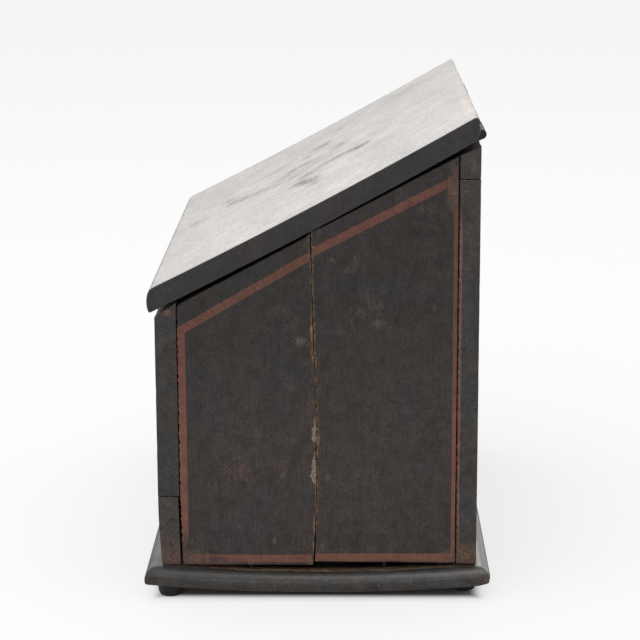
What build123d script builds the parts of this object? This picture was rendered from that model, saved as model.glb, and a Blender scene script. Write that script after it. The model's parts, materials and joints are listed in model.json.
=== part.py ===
from build123d import *
import os
from math import atan, cos, degrees, radians, sin, sqrt, tan

# Painted wooden box with a sloping lid, standing on a moulded base and four button feet.
# Millimetres. +Z is up, the front faces -Y and the right end faces +X.
# The origin is on the floor, under the middle of the base.

# Case, measured over the outside of its boards
case_length = 305.0
case_depth = 180.0
front_height = 144.2          # from the bottom of the boards to the slope line, at the front face
slope = 28.1                  # degrees, of the side boards' top edges
side_thickness = 12.0
front_thickness = 12.2
back_thickness = 12.0
joint_gap = 0.15              # glue line between two boards

# Side boards: each side is two upright boards, and the glue joint of the right side has opened
right_joint_y = -1.5
right_joint_width = 0.8
right_rear_lift = 1.9         # foot of the rear board above the front board's, at the open joint
right_rear_top_lift = 0.9     # the same at the top
left_joint_y = 7.0
left_joint_width = 0.3
left_rear_lift = 0.3
left_rear_top_lift = 0.0
rear_back_lift = 1.2          # foot of a rear board above the base, at the back

# Front boards: a low one under a high one
front_lower_height = 40.5
seam_gap = 0.3
front_top_rise = 1.8          # inner edge of the front board's top above the slope line
front_lean = 1.8              # the low board's outer face runs in by this much at its foot
front_inner_lean = 0.9        # the same for its inner face and for the side board behind it
front_open_joint = 0.7        # open joint between the low board and the side boards

# Back boards: a narrow top board over a wide one
back_top_height = 18.2
back_top_rise = 0.2           # inner edge of the back board's top above the slope line
back_top_drop = 1.05          # outer edge of the back board's top below the slope line
back_lift = 0.9               # the wide board stops short of the base

# Base board, cupped so that its middle hangs below its two long edges
base_thickness = 10.5
base_overhang = 8.0
base_cup = 4.4
base_top_round = 7.0
base_bottom_round = 2.5

# Button feet, turned, each glued in with a spigot
foot_height = 8.2
foot_top_diameter = 15.0
foot_bottom_diameter = 10.0
foot_rim = 2.6                # height of the straight rim under the base
foot_bulge = 0.7              # how far the turned curve stands out from a straight taper
foot_allowance = 3.7          # extra height of the turned blank, cut away along the cupped base
foot_edge_inset = 14.0        # centre of a foot from the base's long edge
foot_front_inset = 13.6       # centre of a front foot from the base's end
foot_back_inset = 23.5        # centre of a back foot from the base's end
spigot_diameter = 6.0
spigot_length = 6.0
spigot_clearance = 0.1

# Lid, one board, cupped so that its front and back edges stand up
lid_thickness = 12.0
lid_end_overhang = 1.0
lid_front_overhang = 2.0
lid_back_setback = 1.8        # lower back corner of the lid in front of the back face
lid_front_bulge = 1.5
lid_back_bulge = 2.1
lid_corner_round = 1.0
lid_cup = 1.5
lid_front_gap = 3.1           # upright gap under the lid at the side board's front corner
lid_back_gap = 2.5            # the same at the side board's back corner

# Butt hinges, let into the joint between the lid and the back board
hinge_length = 38.0
hinge_inset = 38.0            # end of a hinge from the end of the lid
hinge_behind = 2.2            # pin axis behind the back face
hinge_above = 0.4             # pin axis above the slope line at the back face
leaf_width = 14.0             # from the pin axis to the leaf's inner edge
leaf_thickness = 1.1
knuckle_diameter = 5.4
knuckle_count = 5
knuckle_clearance = 0.3
pin_diameter = 2.6
pin_clearance = 0.05
pin_overhang = 0.4
leaf_clearance = 0.1          # round a leaf in its recess

# Countersunk screws of the hinges
screw_length = 9.0
screw_diameter = 2.4
screw_head_diameter = 4.6
screw_head_depth = 1.2
screw_tip = 2.5
screw_slot_width = 0.6
screw_slot_depth = 0.45
screw_pitch = 13.0
screw_inset = 3.6             # screw centre line from the leaf's inner edge
screw_clearance = 0.05

# Nails, punched below the surface
nail_length = 25.0
nail_diameter = 2.0
nail_head_diameter = 3.6
nail_head_thickness = 0.8
nail_sink = 0.4
nail_clearance = 0.05
front_nail_heights = [12.0, 29.0, 55.0, 90.0, 128.0]
back_nail_heights = [14.0, 70.0, 125.0, 180.0]
back_top_nail_rise = 3.5      # above the seam of the narrow top board
base_nail_pitch = 100.0       # along the front and back boards
base_side_nail_pitch = 76.0   # along each side

# Places that follow from the sizes above
half_length = case_length / 2
half_depth = case_depth / 2
inner_front = -half_depth + front_thickness
inner_back = half_depth - back_thickness
base_half_depth = half_depth + base_overhang
base_half_length = half_length + base_overhang
side_middle = half_length - side_thickness / 2

# The base's top and underside are two arcs about one centre line
base_radius = (base_half_depth**2 + base_cup**2) / (2 * base_cup)
foot_y = base_half_depth - foot_edge_inset
arc_centre = foot_height + sqrt((base_radius + base_thickness) ** 2 - foot_y**2)


def base_top(y):
    return arc_centre - sqrt(base_radius**2 - y**2)


def base_underside(y):
    return arc_centre - sqrt((base_radius + base_thickness) ** 2 - y**2)


case_bottom = base_top(half_depth)


def slope_line(y):
    return case_bottom + front_height + (y + half_depth) * tan(radians(slope))


front_seam = case_bottom + front_lower_height
back_top_edge = slope_line(half_depth) - back_top_drop
back_seam = back_top_edge - back_top_height
back_slope = degrees(
    atan((back_top_edge - slope_line(inner_back) - back_top_rise) / back_thickness)
)

# Lid: its own plane lies along the middle of the underside
lid_slope = degrees(
    atan(
        tan(radians(slope))
        + (lid_back_gap - lid_front_gap) / (inner_back - inner_front)
    )
)
lid_front_y = -half_depth - lid_front_overhang
lid_back_y = half_depth - lid_back_setback
lid_middle_y = (lid_front_y + lid_back_y) / 2
lid_half_width = (lid_back_y - lid_front_y) / 2 / cos(radians(lid_slope))
lid_radius = (lid_half_width**2 + lid_cup**2) / (2 * lid_cup)
lid_length = case_length + 2 * lid_end_overhang


def cup_rise(y):
    along = (y - lid_middle_y) / cos(radians(lid_slope))
    return (lid_radius - sqrt(lid_radius**2 - along**2)) / cos(radians(lid_slope))


lid_low_z = (
    slope_line(inner_back)
    + lid_back_gap
    - cup_rise(inner_back)
    - (inner_back - lid_middle_y) * tan(radians(lid_slope))
)
lid_plane = Plane(
    origin=(0, lid_middle_y, lid_low_z),
    x_dir=(0, cos(radians(lid_slope)), sin(radians(lid_slope))),
    z_dir=(1, 0, 0),
)

# Hinges: the pin axis, and the slope of the lid's underside where its leaves lie
pin_y = half_depth + hinge_behind
pin_z = slope_line(half_depth) + hinge_above
knuckle_radius = knuckle_diameter / 2
leaf_slope_lid = lid_slope + degrees(
    atan((lid_half_width - leaf_width / 2) / lid_radius)
)
hinge_middle_x = lid_length / 2 - hinge_inset - hinge_length / 2
hinge_places = {"left": -hinge_middle_x, "right": hinge_middle_x}


def leaf_plane(middle_x, angle):
    return Plane(
        origin=(middle_x - hinge_length / 2, pin_y, pin_z),
        x_dir=(0, cos(radians(angle)), sin(radians(angle))),
        z_dir=(1, 0, 0),
    )


def lower_front_face(z):
    down = (front_seam - z) / front_lower_height
    return -half_depth + front_lean * down**2


os.makedirs("parts", exist_ok=True)


def save(piece, name):
    piece.label = name
    export_step(piece, f"parts/{name}.step")


# Nail and its hole, head upwards, with the board's surface at z = 0
with BuildPart(Plane.XY.offset(-nail_sink)) as nail:
    Cylinder(nail_diameter / 2, nail_length, align=(Align.CENTER, Align.CENTER, Align.MAX))
    Cylinder(
        nail_head_diameter / 2,
        nail_head_thickness,
        align=(Align.CENTER, Align.CENTER, Align.MAX),
    )

with BuildPart(Plane.XY.offset(nail_head_thickness)) as nail_hole:
    Cylinder(
        nail_diameter / 2 + nail_clearance,
        nail_length + nail_head_thickness + nail_sink + nail_clearance,
        align=(Align.CENTER, Align.CENTER, Align.MAX),
    )
    Cylinder(
        nail_head_diameter / 2 + nail_clearance,
        2 * nail_head_thickness + nail_sink + nail_clearance,
        align=(Align.CENTER, Align.CENTER, Align.MAX),
    )

# Screw and its hole, head upwards, with the leaf's surface at z = 0
with BuildPart() as screw:
    with BuildSketch(Plane.XZ):
        with BuildLine():
            Polyline(
                (0, 0),
                (screw_head_diameter / 2, 0),
                (screw_diameter / 2, -screw_head_depth),
                (screw_diameter / 2, -screw_length + screw_tip),
                (0, -screw_length),
                close=True,
            )
        make_face()
    revolve(axis=Axis.Z)
    Box(
        screw_head_diameter,
        screw_slot_width,
        2 * screw_slot_depth,
        mode=Mode.SUBTRACT,
    )

with BuildPart() as screw_hole:
    with BuildSketch(Plane.XZ):
        with BuildLine():
            Polyline(
                (0, leaf_thickness),
                (screw_head_diameter / 2 + screw_clearance, leaf_thickness),
                (screw_head_diameter / 2 + screw_clearance, 0),
                (screw_diameter / 2 + screw_clearance, -screw_head_depth),
                (screw_diameter / 2 + screw_clearance, -screw_length + screw_tip),
                (0, -screw_length - screw_clearance),
                close=True,
            )
        make_face()
    revolve(axis=Axis.Z)

# Where the nails go: each plane points out of the surface that its head lies in
front_nail_planes = []
for height in front_nail_heights:
    nail_z = case_bottom + height
    face_y = lower_front_face(nail_z) if nail_z < front_seam else -half_depth
    for nail_x in (-side_middle, side_middle):
        front_nail_planes.append(
            Plane(origin=(nail_x, face_y, nail_z), x_dir=(1, 0, 0), z_dir=(0, -1, 0))
        )

back_nail_planes = []
for nail_z in [case_bottom + height for height in back_nail_heights] + [
    back_seam + back_top_nail_rise
]:
    for nail_x in (-side_middle, side_middle):
        back_nail_planes.append(
            Plane(origin=(nail_x, half_depth, nail_z), x_dir=(1, 0, 0), z_dir=(0, 1, 0))
        )

base_nail_points = [
    (column * base_nail_pitch, row)
    for column in (-1, 0, 1)
    for row in (-half_depth + front_thickness / 2 + front_inner_lean, half_depth - back_thickness / 2)
]
base_nail_points += [
    (column * side_middle, row * base_side_nail_pitch / 2)
    for column in (-1, 1)
    for row in (-1, 1)
]
base_nail_planes = [
    Plane(origin=(x, y, base_underside(y)), x_dir=(1, 0, 0), z_dir=(0, 0, -1))
    for x, y in base_nail_points
]

with BuildPart() as front_nails:
    for plane in front_nail_planes:
        add(plane * nail.part)
save(front_nails.part, "front_nails")

with BuildPart() as back_nails:
    for plane in back_nail_planes:
        add(plane * nail.part)
save(back_nails.part, "back_nails")

with BuildPart() as base_nails:
    for plane in base_nail_planes:
        add(plane * nail.part)
save(base_nails.part, "base_nails")

with BuildPart() as nail_holes:
    for plane in front_nail_planes + back_nail_planes + base_nail_planes:
        add(plane * nail_hole.part)

# Base board
base_profile = Plane.YZ.offset(-base_half_length)
with BuildPart() as base_blank:
    with BuildSketch(base_profile):
        with BuildLine():
            high_left = (-base_half_depth, base_top(base_half_depth))
            high_right = (base_half_depth, base_top(base_half_depth))
            low_left = (-base_half_depth, base_underside(base_half_depth))
            low_right = (base_half_depth, base_underside(base_half_depth))
            ThreePointArc(high_left, (0, base_top(0)), high_right)
            Line(high_right, low_right)
            ThreePointArc(low_right, (0, base_underside(0)), low_left)
            Line(low_left, high_left)
        make_face()
    extrude(amount=2 * base_half_length)
    broad_faces = base_blank.faces().filter_by(GeomType.CYLINDER).sort_by(Axis.Z)
    top_edges = broad_faces[-1].edges()
    underside_edges = broad_faces[0].edges()
    fillet(top_edges, radius=base_top_round)
    fillet(underside_edges, radius=base_bottom_round)

foot_places = {
    "foot_front_left": (-base_half_length + foot_front_inset, -foot_y),
    "foot_front_right": (base_half_length - foot_front_inset, -foot_y),
    "foot_back_left": (-base_half_length + foot_back_inset, foot_y),
    "foot_back_right": (base_half_length - foot_back_inset, foot_y),
}

with BuildPart() as base_board:
    add(base_blank.part)
    add(nail_holes.part, mode=Mode.SUBTRACT)
    for x, y in foot_places.values():
        with Locations((x, y, foot_height)):
            Cylinder(
                spigot_diameter / 2 + spigot_clearance,
                spigot_length + spigot_clearance,
                align=(Align.CENTER, Align.CENTER, Align.MIN),
                mode=Mode.SUBTRACT,
            )
            Cylinder(
                spigot_diameter / 2 + spigot_clearance,
                foot_height,
                align=(Align.CENTER, Align.CENTER, Align.MAX),
                mode=Mode.SUBTRACT,
            )
save(base_board.part, "base_board")

# Button feet: turned below, scribed to the cupped base above
foot_blank_height = foot_height + foot_allowance
foot_radius = foot_top_diameter / 2
foot_taper = (foot_top_diameter - foot_bottom_diameter) / 2
foot_turned_height = foot_height - foot_rim
foot_flank = sqrt(foot_taper**2 + foot_turned_height**2)
for name, (x, y) in foot_places.items():
    with BuildPart() as foot:
        with BuildSketch(Plane(origin=(x, y, 0), x_dir=(1, 0, 0), z_dir=(0, -1, 0))):
            with BuildLine():
                toe = (foot_bottom_diameter / 2, 0)
                swell = (
                    foot_radius - foot_taper / 2 + foot_bulge * foot_turned_height / foot_flank,
                    foot_turned_height / 2 - foot_bulge * foot_taper / foot_flank,
                )
                rim = (foot_radius, foot_turned_height)
                Line((0, 0), toe)
                ThreePointArc(toe, swell, rim)
                Line(rim, (foot_radius, foot_blank_height))
                Line((foot_radius, foot_blank_height), (0, foot_blank_height))
                Line((0, foot_blank_height), (0, 0))
            make_face()
        revolve(axis=Axis((x, y, 0), (0, 0, 1)))
        add(base_blank.part, mode=Mode.SUBTRACT)
        with Locations((x, y, foot_height - foot_rim)):
            Cylinder(
                spigot_diameter / 2,
                foot_rim + spigot_length,
                align=(Align.CENTER, Align.CENTER, Align.MIN),
            )
    save(foot.part, name)

# Side boards
sides = {
    "right": {
        "inner_x": half_length - side_thickness,
        "joint_y": right_joint_y,
        "joint_width": right_joint_width,
        "lift": right_rear_lift,
        "top_lift": right_rear_top_lift,
    },
    "left": {
        "inner_x": -half_length,
        "joint_y": left_joint_y,
        "joint_width": left_joint_width,
        "lift": left_rear_lift,
        "top_lift": left_rear_top_lift,
    },
}
side_front = inner_front + joint_gap
side_back = inner_back - joint_gap
for name, side in sides.items():
    joint_front = side["joint_y"] - side["joint_width"] / 2
    joint_back = side["joint_y"] + side["joint_width"] / 2
    side_plane = Plane.YZ.offset(side["inner_x"])
    with BuildPart() as side_front_board:
        with BuildSketch(side_plane):
            with BuildLine():
                Polyline(
                    (side_front + front_inner_lean, case_bottom),
                    (joint_front, case_bottom),
                    (joint_front, slope_line(joint_front)),
                    (side_front, slope_line(side_front)),
                    (side_front, front_seam),
                    close=True,
                )
            make_face()
        extrude(amount=side_thickness)
        add(nail_holes.part, mode=Mode.SUBTRACT)
    save(side_front_board.part, f"{name}_side_front_board")

    with BuildPart() as side_rear_board:
        with BuildSketch(side_plane):
            with BuildLine():
                Polyline(
                    (joint_back, case_bottom + side["lift"]),
                    (side_back, case_bottom + rear_back_lift),
                    (side_back, slope_line(side_back)),
                    (joint_back, slope_line(joint_back) + side["top_lift"]),
                    close=True,
                )
            make_face()
        extrude(amount=side_thickness)
        add(nail_holes.part, mode=Mode.SUBTRACT)
    save(side_rear_board.part, f"{name}_side_rear_board")

# Front boards
with BuildPart() as front_upper_board:
    with BuildSketch(Plane.YZ.offset(-half_length)):
        with BuildLine():
            Polyline(
                (-half_depth, front_seam + seam_gap / 2),
                (inner_front, front_seam + seam_gap / 2),
                (inner_front, slope_line(inner_front) + front_top_rise),
                (-half_depth, slope_line(-half_depth)),
                close=True,
            )
        make_face()
    extrude(amount=case_length)
    add(nail_holes.part, mode=Mode.SUBTRACT)
save(front_upper_board.part, "front_upper_board")

with BuildPart() as front_lower_board:
    with BuildSketch(Plane.YZ.offset(-half_length)):
        with BuildLine():
            seam_z = front_seam - seam_gap / 2
            middle_z = (seam_z + case_bottom) / 2
            face_top = (-half_depth, seam_z)
            face_foot = (-half_depth + front_lean, case_bottom)
            inner_foot = (inner_front + front_inner_lean - front_open_joint, case_bottom)
            inner_top = (inner_front - front_open_joint, seam_z)
            ThreePointArc(face_top, (lower_front_face(middle_z), middle_z), face_foot)
            Line(face_foot, inner_foot)
            Line(inner_foot, inner_top)
            Line(inner_top, face_top)
        make_face()
    extrude(amount=case_length)
    add(nail_holes.part, mode=Mode.SUBTRACT)
save(front_lower_board.part, "front_lower_board")

# Screws of the hinges, and their holes. Body screws point down, lid screws point up.
screw_offsets = [-screw_pitch, 0, screw_pitch]
screw_line = -leaf_width + screw_inset


def screw_planes(middle_x, angle, side):
    leaf = leaf_plane(middle_x, angle)
    level = side * (knuckle_radius - leaf_thickness)
    planes = []
    for offset in screw_offsets:
        point = leaf.from_local_coords((screw_line, level, hinge_length / 2 + offset))
        planes.append(Plane(origin=point, x_dir=(1, 0, 0), z_dir=leaf.y_dir * -side))
    return planes


# Back boards
with BuildPart() as back_lower_board:
    with BuildSketch(Plane.YZ.offset(-half_length)):
        with BuildLine():
            Polyline(
                (inner_back, case_bottom + back_lift),
                (half_depth, case_bottom + back_lift),
                (half_depth, back_seam - seam_gap / 2),
                (inner_back, back_seam - seam_gap / 2),
                close=True,
            )
        make_face()
    extrude(amount=case_length)
    add(nail_holes.part, mode=Mode.SUBTRACT)
save(back_lower_board.part, "back_lower_board")

with BuildPart() as back_top_board:
    with BuildSketch(Plane.YZ.offset(-half_length)):
        with BuildLine():
            Polyline(
                (inner_back, back_seam + seam_gap / 2),
                (half_depth, back_seam + seam_gap / 2),
                (half_depth, back_top_edge),
                (inner_back, slope_line(inner_back) + back_top_rise),
                close=True,
            )
        make_face()
    extrude(amount=case_length)
    add(nail_holes.part, mode=Mode.SUBTRACT)
    for middle_x in hinge_places.values():
        recess = leaf_plane(middle_x, back_slope).offset(-leaf_clearance)
        with BuildSketch(recess):
            with Locations((-leaf_width - leaf_clearance, -knuckle_radius)):
                Rectangle(2 * leaf_width, knuckle_diameter, align=(Align.MIN, Align.MIN))
        extrude(amount=hinge_length + 2 * leaf_clearance, mode=Mode.SUBTRACT)
        for plane in screw_planes(middle_x, back_slope, -1):
            add(plane * screw_hole.part, mode=Mode.SUBTRACT)
save(back_top_board.part, "back_top_board")

# Lid board
lid_edge_rise = lid_radius - sqrt(lid_radius**2 - lid_half_width**2)
plumb = (sin(radians(lid_slope)), cos(radians(lid_slope)))
upright = lid_thickness / cos(radians(lid_slope))
with BuildPart() as lid_board:
    with BuildSketch(lid_plane.offset(-lid_length / 2)) as lid_section:
        with BuildLine():
            low_front = (-lid_half_width, lid_edge_rise)
            low_back = (lid_half_width, lid_edge_rise)
            high_front = (low_front[0] + upright * plumb[0], low_front[1] + upright * plumb[1])
            high_back = (low_back[0] + upright * plumb[0], low_back[1] + upright * plumb[1])
            top_middle = ((high_front[0] + high_back[0]) / 2, lid_thickness)
            front_nose = (
                (low_front[0] + high_front[0]) / 2 - lid_front_bulge * plumb[1],
                (low_front[1] + high_front[1]) / 2 + lid_front_bulge * plumb[0],
            )
            back_nose = (
                (low_back[0] + high_back[0]) / 2 + lid_back_bulge * plumb[1],
                (low_back[1] + high_back[1]) / 2 - lid_back_bulge * plumb[0],
            )
            ThreePointArc(low_front, (0, 0), low_back)
            ThreePointArc(low_back, back_nose, high_back)
            ThreePointArc(high_back, top_middle, high_front)
            ThreePointArc(high_front, front_nose, low_front)
        make_face()
        fillet(lid_section.vertices(), radius=lid_corner_round)
    extrude(amount=lid_length)
    for middle_x in hinge_places.values():
        recess = leaf_plane(middle_x, leaf_slope_lid).offset(-leaf_clearance)
        with BuildSketch(recess):
            with Locations((-leaf_width - leaf_clearance, knuckle_radius)):
                Rectangle(2 * leaf_width, knuckle_diameter, align=(Align.MIN, Align.MAX))
        extrude(amount=hinge_length + 2 * leaf_clearance, mode=Mode.SUBTRACT)
        for plane in screw_planes(middle_x, leaf_slope_lid, 1):
            add(plane * screw_hole.part, mode=Mode.SUBTRACT)
save(lid_board.part, "lid_board")

# Hinges: the body leaf holds the odd knuckles, the lid leaf the even ones
knuckle_pitch = hinge_length / knuckle_count
leaves = {"body": (back_slope, -1, 0), "lid": (leaf_slope_lid, 1, 1)}
for name, middle_x in hinge_places.items():
    for leaf_name, (angle, side, first) in leaves.items():
        leaf = leaf_plane(middle_x, angle)
        level = side * (knuckle_radius - leaf_thickness / 2)
        neck = knuckle_radius + knuckle_clearance
        bore = pin_diameter / 2 + (pin_clearance if leaf_name == "lid" else 0)
        with BuildPart() as hinge_leaf:
            with BuildSketch(leaf):
                with Locations((-leaf_width, level)):
                    Rectangle(
                        leaf_width - neck, leaf_thickness, align=(Align.MIN, Align.CENTER)
                    )
            extrude(amount=hinge_length)
            for number in range(first, knuckle_count, 2):
                start = number * knuckle_pitch + (knuckle_clearance / 2 if number else 0)
                end = (number + 1) * knuckle_pitch
                if number < knuckle_count - 1:
                    end -= knuckle_clearance / 2
                with BuildSketch(leaf.offset(start)):
                    Circle(knuckle_radius)
                    with Locations((-neck, level)):
                        Rectangle(neck, leaf_thickness, align=(Align.MIN, Align.CENTER))
                extrude(amount=end - start)
            with BuildSketch(leaf):
                Circle(bore)
            extrude(amount=hinge_length, mode=Mode.SUBTRACT)
            for plane in screw_planes(middle_x, angle, side):
                add(plane * screw_hole.part, mode=Mode.SUBTRACT)
        save(hinge_leaf.part, f"{name}_hinge_{leaf_name}_leaf")

        with BuildPart() as hinge_screws:
            for plane in screw_planes(middle_x, angle, side):
                add(plane * screw.part)
        save(hinge_screws.part, f"{name}_hinge_{leaf_name}_screws")

    with BuildPart() as hinge_pin:
        with BuildSketch(leaf_plane(middle_x, 0).offset(-pin_overhang)):
            Circle(pin_diameter / 2)
        extrude(amount=hinge_length + 2 * pin_overhang)
    save(hinge_pin.part, f"{name}_hinge_pin")

print("pin axis y, z", round(pin_y, 3), round(pin_z, 3))
print("back slope", round(back_slope, 2), "lid slope", round(lid_slope, 2))
print("lid leaf slope", round(leaf_slope_lid, 2), "case bottom", round(case_bottom, 3))
print("foot", round(foot_places["foot_front_right"][0], 3), round(-foot_y, 3))
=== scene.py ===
import json
import math
from functools import partial

import bmesh
import bpy
import numpy as np
from mathutils import Matrix, Vector, noise


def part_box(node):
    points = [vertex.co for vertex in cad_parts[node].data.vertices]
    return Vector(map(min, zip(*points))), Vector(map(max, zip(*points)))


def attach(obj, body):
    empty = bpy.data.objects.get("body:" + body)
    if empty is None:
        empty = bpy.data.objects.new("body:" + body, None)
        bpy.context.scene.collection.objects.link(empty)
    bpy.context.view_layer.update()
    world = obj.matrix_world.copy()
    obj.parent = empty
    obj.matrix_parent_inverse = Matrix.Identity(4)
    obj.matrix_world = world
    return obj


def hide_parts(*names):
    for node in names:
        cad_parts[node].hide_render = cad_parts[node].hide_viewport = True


# An old painted box with a sloping lid, photographed on a white table from its right end.
# Metres. The box stands on z = 0, its low front faces -Y and its right end faces +X.

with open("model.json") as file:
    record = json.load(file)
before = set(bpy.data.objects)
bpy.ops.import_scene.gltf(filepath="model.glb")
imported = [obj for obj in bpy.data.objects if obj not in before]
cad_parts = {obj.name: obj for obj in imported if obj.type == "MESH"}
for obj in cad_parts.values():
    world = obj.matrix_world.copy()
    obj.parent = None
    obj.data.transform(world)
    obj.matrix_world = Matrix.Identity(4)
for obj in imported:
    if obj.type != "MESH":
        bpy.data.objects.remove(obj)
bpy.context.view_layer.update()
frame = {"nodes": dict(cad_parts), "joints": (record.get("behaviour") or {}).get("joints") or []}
mm = 0.001
noise.seed_set(1)  # the outlines of the marks waver the same way each run
print("frame loaded")

# Camera
cameraLook = {
    "place": (1.2849, 0.0187, 0.4220),
    "turn": (77.07, 0.205, 90.803),  # degrees
    "lens": 118.24,
    "sensor": 36.0,
}
cameraData = bpy.data.cameras.new("camera")
cameraData.lens = cameraLook["lens"]
cameraData.sensor_width = cameraLook["sensor"]
camera = bpy.data.objects.new("camera", cameraData)
camera.location = cameraLook["place"]
camera.rotation_euler = [math.radians(angle) for angle in cameraLook["turn"]]
bpy.context.scene.collection.objects.link(camera)
bpy.context.scene.camera = camera
bpy.context.scene.view_settings.view_transform = "Standard"


# Helpers for shader nodes: a value is a number, a colour or another node's output.
# A new node goes into the tree of the outputs that it is given.
def feed(socket, value):
    if isinstance(value, bpy.types.NodeSocket):
        socket.id_data.links.new(value, socket)
    elif value is not None:
        socket.default_value = value


def newNode(kind, values, **settings):
    tree = next(value.id_data for value in values.values() if isinstance(value, bpy.types.NodeSocket))
    made = tree.nodes.new("ShaderNode" + kind)
    for name, value in settings.items():
        setattr(made, name, value)
    for name, value in values.items():
        feed(made.inputs[name], value)
    return made.outputs


def calc(operation, a, b=None, clamp=False):
    return newNode("Math", {0: a, 1: b}, operation=operation, use_clamp=clamp)[0]


def chain(operation, first, *others, clamp=False):
    # only the last result is clamped
    for left, value in zip(range(len(others))[::-1], others):
        first = calc(operation, first, value, clamp and left == 0)
    return first


times = partial(chain, "MULTIPLY")
plus = partial(chain, "ADD")
minus = partial(calc, "SUBTRACT")
most = partial(chain, "MAXIMUM")
least = partial(chain, "MINIMUM")


def sumOf(*parts):
    # a part is a value, or a value and its weight
    return plus(*[times(*part) if isinstance(part, tuple) else part for part in parts])


def smoothStep(value, low, high):
    values = {"Value": value, "From Min": low, "From Max": high}
    return newNode("MapRange", values, interpolation_type="SMOOTHSTEP")["Result"]


def spread(value, low, high):
    return newNode("MapRange", {"Value": value, "To Min": low, "To Max": high})["Result"]


def mixColour(factor, a, b, way="MIX"):
    return newNode("Mix", {0: factor, 6: a, 7: b}, data_type="RGBA", blend_type=way)[2]


def tinted(colour, tone):
    return mixColour(1.0, colour, tone, "MULTIPLY")


def grey(value):
    return newNode("CombineColor", {0: value, 1: value, 2: value})[0]


def cloud(vector, scale, detail, roughness, distortion=0.0):
    values = {"Vector": vector, "Scale": scale, "Detail": detail, "Roughness": roughness}
    return newNode("TexNoise", {**values, "Distortion": distortion})[0]


def stretched(vector, scale, shift=(0, 0, 0)):
    return newNode("Mapping", {"Vector": vector, "Scale": scale, "Location": shift})[0]


def splitUp(vector):
    return newNode("SeparateXYZ", {0: vector})


def toneOf(contrast, *layers):
    # several noises multiplied into one lighter and darker tone
    tones = [spread(value, 1 - depth * contrast, 1 + depth * contrast) for value, depth in layers]
    return grey(times(*tones))


def painted(tree, name):
    made = tree.nodes.new("ShaderNodeAttribute")
    made.attribute_name = name
    return made.outputs["Fac"]


def newGroup(name, takes, gives):
    # every input is a number but the one called Vector
    group = bpy.data.node_groups.new(name, "ShaderNodeTree")
    for label in takes:
        kind = "NodeSocketVector" if label == "Vector" else "NodeSocketFloat"
        group.interface.new_socket(name=label, in_out="INPUT", socket_type=kind)
    for label in gives:
        group.interface.new_socket(name=label, in_out="OUTPUT", socket_type="NodeSocketFloat")
    goesIn = group.nodes.new("NodeGroupInput").outputs
    comesOut = group.nodes.new("NodeGroupOutput").inputs
    return group, goesIn, comesOut


def useGroup(group, values):
    return newNode("Group", values, node_tree=group)


# Grain: soft streaks, fine fibres and open pores, along whichever axis the vector is squeezed
grainLook = {"streaks": 70.0, "fibres": 780.0, "pores": 1300.0, "wander": 0.35}
grainGroup, goesIn, comesOut = newGroup("woodGrain", ["Vector"], ["Streaks", "Fibres", "Pores"])
feed(comesOut["Streaks"], cloud(goesIn["Vector"], grainLook["streaks"], 3, 0.6, grainLook["wander"]))
feed(comesOut["Fibres"], cloud(goesIn["Vector"], grainLook["fibres"], 4, 0.65, grainLook["wander"]))
feed(comesOut["Pores"], smoothStep(cloud(goesIn["Vector"], grainLook["pores"], 2, 0.5), 0.60, 0.70))

# Paint lost along the edges: bare where it is gone, thin round about
lossLook = {"fine": 380.0, "broad": 34.0, "fineDepth": 1.8, "broadDepth": 2.4}
lossGroup, goesIn, comesOut = newGroup("edgeLoss", ["Vector", "Arris", "Amount"], ["Bare", "Thin"])
fine = minus(cloud(goesIn["Vector"], lossLook["fine"], 4, 0.6), 0.5)
broad = minus(cloud(goesIn["Vector"], lossLook["broad"], 2, 0.5), 0.5)
rough = sumOf((fine, lossLook["fineDepth"]), (broad, lossLook["broadDepth"]))
level = minus(plus(goesIn["Arris"], rough, goesIn["Amount"]), 1.5)
nearEdge = smoothStep(goesIn["Arris"], 0.1, 0.5)
feed(comesOut["Bare"], times(smoothStep(level, 0.0, 0.12), nearEdge))
feed(comesOut["Thin"], times(smoothStep(level, -0.55, 0.05), nearEdge))

# Specks of dust and small chips
speckGroup, goesIn, comesOut = newGroup("specks", ["Vector", "Scale", "Share"], ["Mask"])
cells = newNode("TexVoronoi", {"Vector": goesIn["Vector"], "Scale": goesIn["Scale"]})
chance = splitUp(cells["Color"])
kept = calc("LESS_THAN", chance[0], goesIn["Share"])
inside = calc("LESS_THAN", cells["Distance"], spread(chance[1], 0.08, 0.28))
feed(comesOut["Mask"], times(kept, inside))

# Hair scratches: thin level lines of a slow noise, shown only in patches
scratchLook = {"paths": 26.0, "patches": 30.0, "half": 0.0035}
scratchGroup, goesIn, comesOut = newGroup("hairScratches", ["Vector", "Share"], ["Mask"])
paths = cloud(goesIn["Vector"], scratchLook["paths"], 1, 0.4, 0.6)
onLine = calc("LESS_THAN", calc("ABSOLUTE", minus(paths, 0.5)), scratchLook["half"])
patches = cloud(goesIn["Vector"], scratchLook["patches"], 3, 0.6)
feed(comesOut["Mask"], times(onLine, smoothStep(patches, minus(1.0, goesIn["Share"]), 0.9)))

# Painted border line: a band inside four edges, the high one sloping
lineSoft = 0.35 * mm
lineInputs = ["U", "V", "Left", "Right", "Low", "High", "Slope", "Width", "Ragged"]
lineGroup, goesIn, comesOut = newGroup("borderLine", lineInputs, ["Mask"])
slope = goesIn["Slope"]
fromHigh = minus(plus(goesIn["High"], times(slope, goesIn["U"])), goesIn["V"])
fromHigh = calc("DIVIDE", fromHigh, calc("SQRT", plus(times(slope, slope), 1.0)))
fromSides = least(minus(goesIn["U"], goesIn["Left"]), minus(goesIn["Right"], goesIn["U"]))
nearest = least(fromSides, minus(goesIn["V"], goesIn["Low"]), fromHigh)
nearest = plus(nearest, goesIn["Ragged"])
insideLine = smoothStep(minus(goesIn["Width"], nearest), 0.0, lineSoft)
feed(comesOut["Mask"], times(smoothStep(nearest, 0.0, lineSoft), insideLine))
print("node groups made")


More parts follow.
